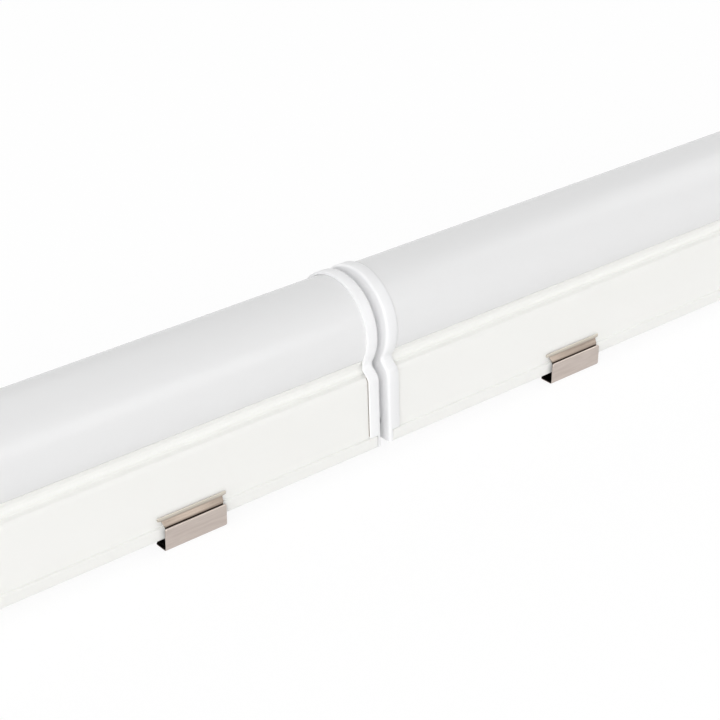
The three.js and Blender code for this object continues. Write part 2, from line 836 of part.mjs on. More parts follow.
// The four clips, two to a batten, named by their batten and their place on it
const clipPlaces = {
  near_outer: battenStarts[0] + outerClipInset,
  near_inner: jointPlace + innerClipPlaces[0],
  far_inner: jointPlace + innerClipPlaces[1],
  far_outer: battenStarts[1] + battenLength - outerClipInset,
};
const bracketGeometry = toGeometry(clipBracket());
const springGeometry = toGeometry(clipSpring());
for (const [place, x] of Object.entries(clipPlaces)) {
  const clip = new THREE.Group();
  clip.position.set(x, 0, clipDrop);
  addPiece(clip, `${place}_clip_bracket`, bracketGeometry, "clip_steel");
  addPiece(clip, `${place}_clip_spring`, springGeometry, "clip_steel");
  pair.add(clip);
}

export default pair;
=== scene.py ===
"""A linked pair of weatherproof led battens on their spring clips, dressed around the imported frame.

Shapes are worked out in millimetres in the frame of one batten: X from its inlet end, Z from its
underside. Each is then put in its place in the shared frame, in metres.
"""

import json
import math

import bmesh
import bpy
import numpy as np
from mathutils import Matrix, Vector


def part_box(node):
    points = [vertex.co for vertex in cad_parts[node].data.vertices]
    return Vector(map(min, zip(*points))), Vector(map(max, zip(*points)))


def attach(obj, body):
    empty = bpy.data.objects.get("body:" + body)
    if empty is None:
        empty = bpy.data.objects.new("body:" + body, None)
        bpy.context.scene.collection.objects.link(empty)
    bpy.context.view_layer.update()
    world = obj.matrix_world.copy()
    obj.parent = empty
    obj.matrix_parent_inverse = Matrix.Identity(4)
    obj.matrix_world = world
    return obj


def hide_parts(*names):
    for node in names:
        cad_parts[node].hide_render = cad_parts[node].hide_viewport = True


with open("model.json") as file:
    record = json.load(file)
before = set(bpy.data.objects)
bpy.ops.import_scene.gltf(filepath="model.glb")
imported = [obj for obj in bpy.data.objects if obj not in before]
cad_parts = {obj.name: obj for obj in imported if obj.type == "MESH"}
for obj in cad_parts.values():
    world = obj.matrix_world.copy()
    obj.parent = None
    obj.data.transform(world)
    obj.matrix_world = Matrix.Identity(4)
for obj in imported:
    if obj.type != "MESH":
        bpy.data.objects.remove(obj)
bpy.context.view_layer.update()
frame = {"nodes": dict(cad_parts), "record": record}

MM = 0.001

# Places taken from the frame
near_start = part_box("near_inlet_cap")[0].x
far_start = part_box("far_inlet_cap")[0].x
near_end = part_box("near_outlet_cap")[1].x
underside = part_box("near_housing")[0].z
batten_length = (near_end - near_start) / MM
link_gap = (far_start - near_end) / MM
joint_x = (far_start + near_end) / 2
clearance = 0.3

# Housing section
rail_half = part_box("near_housing")[1].y / MM
rail_height = 4.4
side_foot_half = 19.5
side_head_half = 18.3
side_head_height = 24.8
shoulder_radius = 3
shoulder_turn = math.radians(50)
ledge_half = 15.1
ledge_height = 27.3
ridge_half = 15.3
ridge_foot = 27.9
ridge_top = 28.5
neck_half = 14.5
neck_foot = 29.1
neck_top = 30.7
lip_foot_half = 14.7
lip_foot = 31
lip_half = 15.3
lip_height = (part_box("near_housing")[1].z - underside) / MM
housing_wall = 1.5
neck_inner_half = 13.6
shelf_half = 12
shelf_foot = 26.1
tray_height = 21.2
tray_top = 22
rib_wall = 1
rib_reach = 1.9
housing_ease = 0.35
port_side = 13
port_height = 6.4
port_radius = 3
port_bore = 1.65
mill_back = 10

# Diffuser section
crown_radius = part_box("near_diffuser")[1].y / MM
crown_centre = (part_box("near_diffuser")[1].z - underside) / MM - crown_radius
diffuser_wall = 1.5
diffuser_seat = lip_height + clearance / 2
foot_outer_half = 13.3
foot_inner_half = 12.1
foot_bottom = 27.6
diffuser_ease = 0.25

# End caps
body_start = (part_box("near_housing")[0].x - near_start) / MM
body_end = batten_length - body_start
cap_plate = 1.4
cap_depth = 4.7
cap_proud = 1.1
cap_round = 1.05
cap_ease = 0.6
skirt_wall = 0.65
skirt_edge = 0.3
skirt_edge_shares = [(1, 0), (0.3, 0.3), (0, 0.99)]
neck_wall = 0.3
crown_slack = 0.08
lip_setback = 0.05
lip_clear = 0.04
sliver = 0.002
cap_neck_half = 15.8
spigot_inset = 1.6
spigot_wall = 1.2
spigot_depth = (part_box("near_inlet_cap")[1].x - near_start) / MM
hole_clear = 0.1

# Cap screws
screw_radius = 1.35
screw_length = 18
screw_point = 1
screw_point_radius = 0.3
screw_head_radius = 2.4
screw_head_depth = 1.2
screw_head_rim = [(0, 0.15), (0.12, 0), (0.25, 0)]
thread_pitch = 1.2
thread_depth = 0.25
screw_seat = 0.2
recess_arm = 1.4
recess_half = 0.32
recess_depth = 1

# Connectors
plug_width = 16
plug_thick = 10
plug_corner = 2.5
plug_least_corner = 0.4
plug_height = 13
plug_reach = 15
plug_tip = [(0, -1.4), (0.25, -0.6), (1.1, 0)]
plug_tail = 14
plug_flange = 2
plug_flange_wall = 2
socket_clear = 0.5
socket_wall = 1.6
socket_depth = 16
socket_floor = 2
socket_corner = 1
socket_lip = 0.4
seal_setback = 4
seal_length = 2
seal_inside = -0.9
seal_least = 0.05
seal_swell = 0.15
groove_depth = 1.2
groove_edge = 0.2
contact_pitch = 4.6
contact_places = [-contact_pitch, 0, contact_pitch]
contact_bore = 10
contact_funnel = 0.4
contact_mouth = 0.65
contact_mouth_rise = 0.25
pin_radius = 1.2
pin_tip = 6.5
pin_tail = 20.5
pin_dome_start = 0.15
collar_height = 1.2
collar_wall = 0.7
collar_edge = 0.2
collar_sunk = 0.5

# Blanking cap
blank_room = 1
blank_end = [(0, -1.6), (0.35, -0.5), (1.2, 0)]
blank_rim = 1.5
blank_rim_width = 2
blank_rim_edge = 0.3
blank_rim_foot = 0.4
grip_from_end = 2.5
grip_from_mouth = 4.5
grip_depth = 0.35
grip_count = 5
grip_flatness = 1.6

# Clips
clip_width = 24
clip_half = 22.2
clip_plate_top = 4.6
clip_plate_corner = 0.7
clip_wall = 0.7
clip_bend = 1.6
clip_strap_half = 8.5
clip_strap_end = 16.7
clip_strap_corner = 1.4
clip_drop = underside / MM
spring_wall = 0.45
spring_flat_half = 10
spring_ramp_half = 14
spring_bend = 0.9
spring_ease = 0.6
spring_knee = 5
contact_height = 6.6
flare_rise = 1.4
flare_reach = 0.05
flare_extra = 1.4
flare_start = 0.3
spring_taper = 1.5
spring_widening = 0.2
clip_slot_half = 2.3
clip_slot_reach = 2.5
strip_step = 0.4
strip_corner_share = 0.35
strip_end_share = 0.99

# Numbers of facets and of rows
crown_facets = 64
bend_facets = 10
round_facets = 48
ease_facets = 4
rim_facets = 5
dome_facets = 7
strip_facets = 3
screw_facets = 24
slot_facets = 24
thread_rows = 120
seal_rows = 17
grip_rows = 81
hub_samples = 4000

# Limits of the meshes
least_turn = math.radians(12)
sharp_turn = math.radians(32)
edge_divisor = 2.2
on_axis = 1e-9
weld = 1e-5
axis_radius = 0.001
overcut = 1

mirror = np.array([-1, 1])
full_turn = 2 * math.pi
quarter_turn = math.pi / 2


# Outlines, each an array of (Y, Z) points

def arc(centre_y, centre_z, radius, start, end, facets):
    """Points at even angles on a circle: the centre plus radius times (cosine, sine)."""
    angle = np.linspace(start, end, facets + 1)
    return np.stack([centre_y + radius * np.cos(angle), centre_z + radius * np.sin(angle)], axis=1)


def circle(centre_y, centre_z, radius):
    """A whole circle, whose last point isn't its first one again."""
    return arc(centre_y, centre_z, radius, 0, full_turn, round_facets)[:-1]


def with_other_side(half):
    """A half outline on the +Y side, followed by its mirror image in reverse order."""
    other = half[::-1] * mirror
    return np.concatenate([half, other[np.abs(other[:, 0]) > on_axis]])


def corner_curves(before, corner, after, reach):
    """A parabola round each corner, from a point a on one of its edges to a point b on the other.

    Both lie at reach from the corner, or at the shorter edge's length over edge_divisor if that is
    less. A point at share u of the parabola is (1-u)^2 a + 2u(1-u) p + u^2 b, with p the corner.
    """
    to_before, to_after = before - corner, after - corner
    before_length = np.linalg.norm(to_before, axis=1, keepdims=True)
    after_length = np.linalg.norm(to_after, axis=1, keepdims=True)
    step = np.minimum(reach, np.minimum(before_length, after_length) / edge_divisor)
    a = (corner + to_before / before_length * step)[:, None]
    b = (corner + to_after / after_length * step)[:, None]
    u = np.linspace(0, 1, ease_facets + 1)[None, :, None]
    return (1 - u) ** 2 * a + 2 * u * (1 - u) * corner[:, None] + u ** 2 * b


def eased(outline, reach):
    """A closed outline whose corners become parabolas where it turns by least_turn or more."""
    before, after = np.roll(outline, 1, axis=0), np.roll(outline, -1, axis=0)
    curve = corner_curves(before, outline, after, reach)
    way_in, way_out = outline - before, after - outline
    lengths = np.linalg.norm(way_in, axis=1) * np.linalg.norm(way_out, axis=1)
    turns = np.sum(way_in * way_out, axis=1) / lengths < math.cos(least_turn)
    middle = np.arange(ease_facets + 1) == ease_facets // 2
    curve[~turns] = outline[~turns][:, None]
    return curve[turns[:, None] | middle]


def side_half_at(height):
    """The leaning side's half width, falling evenly from its foot to its head."""
    return side_foot_half - (side_foot_half - side_head_half) * height / side_head_height


def inside_half_at(height):
    """The half width inside the housing's wall beside its leaning side."""
    return side_half_at(height) - housing_wall


def crown_half_at(radius, height):
    """The half width of a circle about the crown's centre at a height."""
    return math.sqrt(radius ** 2 - (crown_centre - height) ** 2)


def crown_arc(radius, half):
    """Half of a circle about the crown's centre, from a half width low on its flank to its top."""
    return arc(0, crown_centre, radius, -math.acos(half / radius), quarter_turn, crown_facets)


def shoulder(proud):
    """The housing's rounded shoulder, moved out by proud."""
    centre = side_head_half - shoulder_radius
    return arc(centre, side_head_height, shoulder_radius + proud, 0, shoulder_turn, bend_facets)


def housing_outline():
    """The channel's outside from its rail to its lip, then its inside from the lip to the floor."""
    root = inside_half_at(tray_height)
    tip = inside_half_at(tray_top) - rib_reach
    ribs = [
        [[root, foot + rib_wall], [tip, foot + rib_wall], [tip, foot], [root, foot]]
        for foot in (tray_top + clearance, tray_height - clearance - rib_wall)
    ]
    half = np.concatenate([
        [[rail_half, 0], [rail_half, rail_height], [side_half_at(rail_height), rail_height]],
        shoulder(0),
        [[ledge_half, ledge_height], [ridge_half, ridge_foot], [ridge_half, ridge_top]],
        [[neck_half, neck_foot], [neck_half, neck_top]],
        [[lip_foot_half, lip_foot], [lip_half, lip_height]],
        [[neck_inner_half, lip_height], [neck_inner_half, ledge_height]],
        [[shelf_half, ledge_height], [shelf_half, shelf_foot]],
        [[inside_half_at(side_head_height), side_head_height]],
        *ribs,
        [[inside_half_at(housing_wall), housing_wall]],
    ])
    return eased(with_other_side(half), housing_ease)


def diffuser_outline():
    """A round crown with a level seat on the lip and two feet that stand inside the neck."""
    inner_radius = crown_radius - diffuser_wall
    web_top = diffuser_seat + diffuser_wall
    outer = crown_arc(crown_radius, crown_half_at(crown_radius, diffuser_seat))
    inner = crown_arc(inner_radius, crown_half_at(inner_radius, web_top))[::-1]
    foot = np.array([
        [foot_inner_half, web_top],
        [foot_inner_half, foot_bottom],
        [foot_outer_half, foot_bottom],
        [foot_outer_half, diffuser_seat],
    ])
    outline = np.concatenate([
        outer,
        (outer[:-1] * mirror)[::-1],
        (foot * mirror)[::-1],
        (inner[1:] * mirror)[::-1],
        inner,
        foot,
    ])
    return eased(outline, diffuser_ease)


def moulded_outline(floor, proud, neck, crown):
    """An outline round the housing and the diffuser, which it clears by proud and by crown."""
    curve = shoulder(proud)
    slope_height = curve[-1, 1] + (curve[-1, 0] - neck) / math.tan(shoulder_turn)
    half = np.concatenate([
        [[0, floor], [side_half_at(floor) + proud, floor]],
        curve,
        [[neck, slope_height]],
        crown_arc(crown_radius + crown, neck),
    ])
    return eased(with_other_side(half), cap_ease)


def cap_outline(proud):
    """The end cap's outside at a distance proud of the housing and the diffuser."""
    return moulded_outline(0, proud, cap_neck_half - cap_proud + proud, proud)


def skirt_inside():
    """The skirt's inside: near the diffuser, and further from the housing and its neck."""
    proud, neck = cap_proud - skirt_wall, cap_neck_half - neck_wall
    return moulded_outline(skirt_wall, proud, neck, crown_slack)


def spigot_outline(distance):
    """The free inside of the tube that housing and diffuser make, drawn in by a distance.

    Above the shelf it stays as narrow as the neck up to the crown.
    """
    floor = housing_wall + distance
    head = side_head_height - distance
    neck = shelf_half - distance
    radius = crown_radius - diffuser_wall - distance
    half = np.concatenate([
        [[0, floor], [inside_half_at(floor) - distance, floor]],
        [[inside_half_at(head) - distance, head], [neck, shelf_foot - distance]],
        arc(0, crown_centre, radius, math.acos(neck / radius), quarter_turn, crown_facets // 2),
    ])
    return eased(with_other_side(half), cap_ease)


def rounded_rectangle(width, height, corner, centre_z=0, facets=bend_facets):
    """Four quarter circles about the corners' centres, joined by straight sides."""
    across, up = width / 2 - corner, height / 2 - corner
    return np.concatenate([
        arc(
            sy * across, centre_z + sz * up, corner,
            turns * quarter_turn, (turns + 1) * quarter_turn, facets,
        )
        for turns, (sy, sz) in enumerate([(1, 1), (-1, 1), (-1, -1), (1, -1)])
    ])


def plug_outline(proud):
    """The connector's rounded rectangle, moved out by proud."""
    corner = max(plug_corner + proud, plug_least_corner)
    return rounded_rectangle(plug_width + proud * 2, plug_thick + proud * 2, corner, plug_height)


def seen_from_hub(outline, angles):
    """The points of an outline that a hub at the connector's centre sees at the given angles."""
    closed = np.concatenate([outline, outline[:1]])
    length = np.concatenate([[0], np.cumsum(np.linalg.norm(np.diff(closed, axis=0), axis=1))])
    at = np.linspace(0, length[-1], hub_samples)
    y = np.interp(at, length, closed[:, 0])
    z = np.interp(at, length, closed[:, 1]) - plug_height
    radius = np.interp(angles, np.arctan2(z, y), np.hypot(y, z), period=full_turn)
    return np.stack([radius * np.cos(angles), plug_height + radius * np.sin(angles)], axis=1)


# Surfaces, each given as an array of points and a list of faces

def grid_faces(rows, columns, rows_closed, columns_closed):
    """Quads between neighbouring rows and columns of a grid of points, as an array of indices."""
    r = np.arange(rows if rows_closed else rows - 1)[:, None]
    c = np.arange(columns if columns_closed else columns - 1)[None, :]
    r_next = (r + 1) % rows
    c_next = (c + 1) % columns
    quads = [r * columns + c, r * columns + c_next, r_next * columns + c_next, r_next * columns + c]
    return np.stack(np.broadcast_arrays(*quads), axis=-1).reshape(-1, 4)


def stacked(rows):
    """Rows of (X, outline), one behind another, as a grid of (X, Y, Z) points."""
    outlines = np.array([outline for _, outline in rows])
    x = np.array([place for place, _ in rows], float)[:, None, None]
    return np.concatenate([np.broadcast_to(x, (*outlines.shape[:2], 1)), outlines], axis=2)


def plug_grid(rows):
    """Rows of (X, proud) as a grid: the connector's outline at each X, moved out by proud."""
    return stacked([(place, plug_outline(proud)) for place, proud in rows])


def capped_skin(grid):
    """A grid whose columns close on themselves, with a flat face over its first and last rows."""
    rows, columns = grid.shape[:2]
    faces = grid_faces(rows, columns, False, True).tolist()
    faces.append(list(range(columns))[::-1])
    faces.append(list(range((rows - 1) * columns, rows * columns)))
    return grid.reshape(-1, 3), faces


def ring_skin(grid):
    """A grid that closes on itself both ways, like a bent ring."""
    rows, columns = grid.shape[:2]
    return grid.reshape(-1, 3), grid_faces(rows, columns, True, True).tolist()


def turned(profile, height, side, facets=round_facets):
    """A profile of (X, radius) points turned about the axis along X at (side, height)."""
    profile = np.array(profile)
    angle = np.linspace(0, full_turn, facets, endpoint=False)
    x = np.broadcast_to(profile[:, :1], (len(profile), facets))
    y = side + profile[:, 1:] * np.cos(angle)
    z = height + profile[:, 1:] * np.sin(angle)
    return np.stack([x, y, z], axis=2)


def block(low, high):
    """The eight corners and six faces of a box between two corners."""
    corners = np.array([
        [x, y, z] for x in (low[0], high[0]) for y in (low[1], high[1]) for z in (low[2], high[2])
    ])
    faces = [[0, 1, 3, 2], [4, 6, 7, 5], [0, 4, 5, 1], [2, 3, 7, 6], [0, 2, 6, 4], [1, 5, 7, 3]]
    return corners, faces


def make_mesh(name, points, faces):
    """A mesh of points and faces, with its faces turned outwards."""
    mesh = bpy.data.meshes.new(name)
    mesh.from_pydata(np.asarray(points).tolist(), [], faces)
    mesh.validate()
    shell = bmesh.new()
    shell.from_mesh(mesh)
    bmesh.ops.remove_doubles(shell, verts=shell.verts, dist=weld)
    bmesh.ops.dissolve_degenerate(shell, edges=shell.edges, dist=weld)
    bmesh.ops.recalc_face_normals(shell, faces=shell.faces)
    shell.to_mesh(mesh)
    shell.free()
    return mesh


def in_scene(name, data):
    """A new object in the scene."""
    thing = bpy.data.objects.new(name, data)
    bpy.context.scene.collection.objects.link(thing)
    return thing


def cut(mesh, cutters):
    """The mesh with each cutter's points and faces taken away from it."""
    body = in_scene("body", mesh)
    tools = []
    for points, faces in cutters:
        tool = in_scene("tool", make_mesh("tool", points, faces))
        tools.append(tool)
        modifier = body.modifiers.new("cut", "BOOLEAN")
        modifier.operation = "DIFFERENCE"
        modifier.solver = "EXACT"
        modifier.object = tool
    bpy.context.view_layer.update()
    finished = body.evaluated_get(bpy.context.evaluated_depsgraph_get())
    result = bpy.data.meshes.new_from_object(finished)
    for thing in [body, *tools]:
        bpy.data.objects.remove(thing)
    return result


# Finishes

# Noises: waves in a metre along X, Y and Z, and the middle of their values
moulded_drift = (60, 60, 60)
moulded_skin = (2500, 2500, 2500)
opal_drift = (4, 25, 25)
extruded_drift = (9, 45, 45)
die_lines = (1.5, 1600, 1600)
brushed_lines = (40, 900, 900)
drawn_lines = (120, 1500, 1500)
even_marks = (600, 600, 600)
rolling_lines = (90, 1300, 1300)
noise_low, noise_high = 0.3, 0.7

# How far roughness goes either side of a finish's own
moulded_spread = 0.04
opal_spread = 0.005
extruded_spread = 0.02
metal_smoother, metal_rougher = 0.06, 0.08

# Bumps: a height in metres and a strength
moulded_bump = (0.00002, 0.35)
die_bump = (0.000001, 0.25)
metal_bump = (0.00001, 0.4)
rolling_bump = (0.000006, 0.4)

# Places of a mix node's two colours among its inputs, and of their mix among its outputs
mix_first, mix_second, mix_result = 6, 7, 2

# A clip's painted shade inside it and painted highlight on its lips
clip_painted_shade = (0.02, 0.017, 0.015)
clip_painted_highlight = (0.62, 0.575, 0.505)

# Where the painted shade inside a clip begins, in shares of its walls, and how far below the knees it
# fades in
strap_shares = (0.4, 0.6)
plate_shares = (0.8, 0.9)
knee_fade = 0.7

# The materials by name
finishes = {}


def add_node(tree, kind, inputs=(), **settings):
    """A new node with its settings, whose inputs are set to values or linked from outputs."""
    node = tree.nodes.new(kind)
    for setting, value in settings.items():
        setattr(node, setting, value)
    for key, value in dict(inputs).items():
        if isinstance(value, bpy.types.NodeSocket):
            tree.links.new(value, node.inputs[key])
        else:
            node.inputs[key].default_value = value
    return node


def empty_material(name):
    """A material without nodes."""
    material = bpy.data.materials.new(name)
    material.use_nodes = True
    material.node_tree.nodes.clear()
    return material


def new_finish(name, roughness, metallic=0.0):
    """Adds a material with a principled shader to the finishes, and gives its tree and shader."""
    finishes[name] = empty_material(name)
    tree = finishes[name].node_tree
    values = {"Roughness": roughness, "Metallic": metallic}
    shader = add_node(tree, "ShaderNodeBsdfPrincipled", values)
    add_node(tree, "ShaderNodeOutputMaterial", {"Surface": shader.outputs["BSDF"]})
    return tree, shader


def grain(tree, stretch, detail=3.0, roughness=0.55):
    """Noise on Object coordinates, with so many waves in a metre along X, Y and Z."""
    place = add_node(tree, "ShaderNodeTexCoord").outputs["Object"]
    mapping = add_node(tree, "ShaderNodeMapping", {"Vector": place, "Scale": stretch})
    values = {"Scale": 1.0, "Detail": detail, "Roughness": roughness}
    return add_node(
        tree, "ShaderNodeTexNoise", {"Vector": mapping.outputs["Vector"], **values},
    ).outputs["Fac"]


def ranged(tree, source, low, high):
    """Spreads the middle of a noise over a range of values, with smooth ends."""
    return add_node(tree, "ShaderNodeMapRange", {
        "Value": source,
        "From Min": noise_low,
        "From Max": noise_high,
        "To Min": low,
        "To Max": high,
    }, interpolation_type="SMOOTHSTEP").outputs["Result"]


def blended(tree, share, first, second):
    """The first colour where a share is zero, and the second where it is one."""
    inputs = {"Factor": share, mix_first: first, mix_second: second}
    return add_node(tree, "ShaderNodeMix", inputs, data_type="RGBA").outputs[mix_result]


def tinted(tree, shader, source, low, high):
    """Base colour that wanders between two near colours with a noise."""
    colour = blended(tree, ranged(tree, source, 0, 1), (*low, 1), (*high, 1))
    tree.links.new(colour, shader.inputs["Base Color"])


def laid_over(tree, shader, mask, colour):
    """Lays a colour over the base colour where a mask is one."""
    base = shader.inputs["Base Color"]
    tree.links.new(blended(tree, mask, base.links[0].from_socket, (*colour, 1)), base)


def roughened(tree, shader, source, low, high):
    """Roughness that wanders over a range with a noise."""
    tree.links.new(ranged(tree, source, low, high), shader.inputs["Roughness"])


def textured(tree, shader, source, height, strength):
    """Bump of a given height in metres from a noise."""
    values = {"Distance": height, "Strength": strength}
    bump = add_node(tree, "ShaderNodeBump", {"Height": source, **values})
    tree.links.new(bump.outputs["Normal"], shader.inputs["Normal"])


def between(tree, source, start, end):
    """Zero at start and one at end, in millimetres, and even beyond them; either may be larger."""
    inputs = {"Value": source, "From Min": start * MM, "From Max": end * MM}
    return add_node(tree, "ShaderNodeMapRange", inputs).outputs["Result"]


def product(tree, first, second):
    """Two outputs multiplied: one where both are one."""
    return add_node(
        tree, "ShaderNodeMath", {0: first, 1: second}, operation="MULTIPLY",
    ).outputs[0]


def side_and_height(tree):
    """The distance from the middle plane and the height above the floor, on Object coordinates."""
    place = add_node(tree, "ShaderNodeTexCoord").outputs["Object"]
    split = add_node(tree, "ShaderNodeSeparateXYZ", {0: place})
    side = add_node(tree, "ShaderNodeMath", {0: split.outputs["Y"]}, operation="ABSOLUTE")
    return side.outputs[0], split.outputs["Z"]


def plain_plastic(name, low, high, roughness):
    """Moulded plastic: a slow drift of colour and a fine eroded skin."""
    tree, shader = new_finish(name, roughness)
    tinted(tree, shader, grain(tree, moulded_drift), low, high)
    fine = grain(tree, moulded_skin, detail=2)
    roughened(tree, shader, fine, roughness - moulded_spread, roughness + moulded_spread)
    textured(tree, shader, fine, *moulded_bump)


def opal_plastic(name, low, high, roughness):
    """Extruded opal plastic: smooth drifts of colour and gloss, long along X."""
    tree, shader = new_finish(name, roughness)
    drift = grain(tree, opal_drift, detail=0)
    tinted(tree, shader, drift, low, high)
    roughened(tree, shader, drift, roughness - opal_spread, roughness + opal_spread)


def extruded(name, low, high, roughness):
    """Extruded plastic: fine die lines along X over a slow drift of colour."""
    tree, shader = new_finish(name, roughness)
    tinted(tree, shader, grain(tree, extruded_drift, detail=0), low, high)
    die = grain(tree, die_lines, detail=0)
    roughened(tree, shader, die, roughness - extruded_spread, roughness + extruded_spread)
    textured(tree, shader, die, *die_bump)


def metal(name, low, high, roughness, streaks, bump=metal_bump):
    """Metal with streaks: long thin noise that tints, roughens and marks the surface."""
    tree, shader = new_finish(name, roughness, metallic=1.0)
    lines = grain(tree, streaks, detail=5, roughness=0.7)
    tinted(tree, shader, lines, low, high)
    roughened(tree, shader, lines, roughness - metal_smoother, roughness + metal_rougher)
    textured(tree, shader, lines, *bump)
    return tree, shader


def clip_metal(name, low, high, roughness):
    """Spring steel with its rolling lines along X, with painted shade inside the clip and a painted
    highlight on its lips.

    Inside is what lies between the side plates, with their inner faces, above the middle of the
    strap's thickness and below the spring's knees.
    """
    tree, shader = metal(name, low, high, roughness, rolling_lines, rolling_bump)
    side, height = side_and_height(tree)
    knee = clip_drop + spring_knee
    lip = clip_drop + contact_height
    above_strap = between(tree, height, *[clip_wall * share for share in strap_shares])
    below_knee = between(tree, height, knee, knee - knee_fade)
    within = between(tree, side, *[clip_half - clip_wall * share for share in plate_shares])
    inside = product(tree, within, product(tree, above_strap, below_knee))
    # Painted shade: the steel turns near black inside the clip, where it lies in shade
    laid_over(tree, shader, inside, clip_painted_shade)
    # Painted highlight: a pale colour on the spring's lips, where they reflect the white around them
    laid_over(tree, shader, between(tree, height, lip, lip + flare_rise / 2), clip_painted_highlight)


# A finish's name, the two colours it wanders between and its roughness
extruded("housing_white", (0.876, 0.873, 0.848), (0.886, 0.883, 0.86), 0.42)
opal_plastic("opal_diffuser", (0.798, 0.798, 0.8), (0.802, 0.802, 0.804), 0.27)
plain_plastic("cap_white", (0.872, 0.873, 0.88), (0.888, 0.889, 0.895), 0.38)
plain_plastic("connector_white", (0.79, 0.79, 0.775), (0.83, 0.83, 0.82), 0.45)
plain_plastic("tray_white", (0.83, 0.83, 0.82), (0.86, 0.86, 0.855), 0.5)
plain_plastic("board_white", (0.86, 0.86, 0.83), (0.9, 0.9, 0.88), 0.4)
plain_plastic("terminal_grey", (0.3, 0.31, 0.31), (0.36, 0.37, 0.37), 0.55)
plain_plastic("cable_white", (0.74, 0.74, 0.71), (0.79, 0.79, 0.77), 0.5)
plain_plastic("seal_rubber", (0.085, 0.09, 0.095), (0.12, 0.125, 0.13), 0.7)
plain_plastic("gasket_foam", (0.16, 0.12, 0.1), (0.22, 0.17, 0.14), 0.8)
metal("driver_grey", (0.52, 0.54, 0.54), (0.62, 0.63, 0.63), 0.42, brushed_lines)
metal("brass_pin", (0.6, 0.42, 0.13), (0.72, 0.52, 0.19), 0.25, drawn_lines)
metal("screw_steel", (0.5, 0.5, 0.51), (0.62, 0.62, 0.63), 0.3, even_marks)
clip_metal("clip_steel", (0.51, 0.44, 0.4), (0.59, 0.52, 0.475), 0.34)
clip_metal("spring_steel", (0.31, 0.257, 0.213), (0.38, 0.315, 0.265), 0.32)

for row in frame["record"]["subparts"]:
    frame["nodes"][row["node"]].material_slots[0].material = finishes[row["material_slot"]]


# A finished piece in its place on a body

def add_piece(name, mesh, place, body, finish, replaced, turned_round=False):
    """Puts a copy of a mesh, in a batten's own millimetres, in its place on a body.

    place is the X that the mesh's own zero comes to: a batten's inlet end, its outlet end for a
    mesh that is turned round, or a clip's middle. The piece is smooth but for edges that turn by
    sharp_turn or more.
    """
    data = mesh.copy()
    data.name = name
    points = np.empty(len(data.vertices) * 3, np.float32)
    data.vertices.foreach_get("co", points)
    points = points.reshape(-1, 3) * MM
    if turned_round:
        points[:, :2] *= -1
    points += np.array([place, 0, underside], np.float32)
    data.vertices.foreach_set("co", points.ravel())
    data.materials.clear()
    data.materials.append(finishes[finish])
    data.shade_smooth()
    data.set_sharp_from_angle(angle=sharp_turn)
    data.update()
    piece = in_scene(name, data)
    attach(piece, body)
    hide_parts(*replaced)


# Pieces of a batten

def long_piece(name, outline):
    """An outline carried straight along X, between the two end caps' plates."""
    return make_mesh(name, *capped_skin(stacked([(body_start, outline), (body_end, outline)])))


def screw_port():
    """The tube that a cap screw goes into, from one milled end of the housing to the other."""
    rim, bore = [circle(port_side, port_height, radius) for radius in (port_radius, port_bore)]
    start, end = mill_back, batten_length - mill_back
    grid = stacked([(start, rim), (end, rim), (end, bore), (start, bore)])
    return make_mesh("screw_port", *ring_skin(grid))


def end_cap(name, hole_proud):
    """A cap as one ring: its face, rounded rim, skirt, plate, spigot and the connector's hole.

    Each row is an outline at a depth X: the row leaves the hole across the face, goes round the
    rim with depth = cap_round times (1 - cosine) and proud = cap_proud less cap_round times
    (1 - sine), back inside the skirt and over the spigot.
    """
    rim = [
        (cap_round * (1 - math.cos(turn)), cap_proud - cap_round * (1 - math.sin(turn)))
        for turn in np.linspace(0, quarter_turn, rim_facets + 1)
    ]
    skirt = [
        (cap_depth - skirt_edge * back, cap_proud - skirt_edge * inwards)
        for back, inwards in skirt_edge_shares
    ]
    base = cap_outline(cap_proud)
    angles = np.arctan2(base[:, 1] - plug_height, base[:, 0])
    hole = seen_from_hub(plug_outline(hole_proud), angles)
    spigot_out = seen_from_hub(spigot_outline(spigot_inset), angles)
    spigot_in = seen_from_hub(spigot_outline(spigot_inset + spigot_wall), angles)
    grid = stacked([
        (0, hole),
        *[(depth, cap_outline(proud)) for depth, proud in rim + skirt],
        (cap_depth, skirt_inside()),
        (cap_plate, skirt_inside()),
        (cap_plate, spigot_out),
        (spigot_depth, spigot_out),
        (spigot_depth, spigot_in),
        (cap_plate, spigot_in),
        (cap_plate, hole),
    ])
    start, end = cap_plate + sliver, cap_depth + overcut
    half, top = rail_half + cap_proud, rail_height + clearance
    floor = housing_wall + spigot_inset / 2
    inside = inside_half_at(0) - spigot_inset / 2
    # The rooms start a sliver off the plate, so that no two faces of the cut lie in one plane
    rail_rooms = [
        block((start, -half, -overcut), (end, half, floor)),
        block((start, inside, -overcut), (end, half, top)),
        block((start, -half, -overcut), (end, -inside, top)),
    ]
    hole_radius = screw_radius + clearance
    sink_radius = screw_head_radius + screw_seat
    sink = [
        (-overcut, axis_radius),
        (-overcut, sink_radius),
        (screw_seat, sink_radius),
        (screw_head_depth + screw_seat, hole_radius),
        (spigot_depth + overcut, hole_radius),
        (spigot_depth + overcut, axis_radius),
    ]
    sinks = [capped_skin(turned(sink, port_height, side)) for side in (-port_side, port_side)]
    return cut(make_mesh(name, *ring_skin(grid)), rail_rooms + sinks)


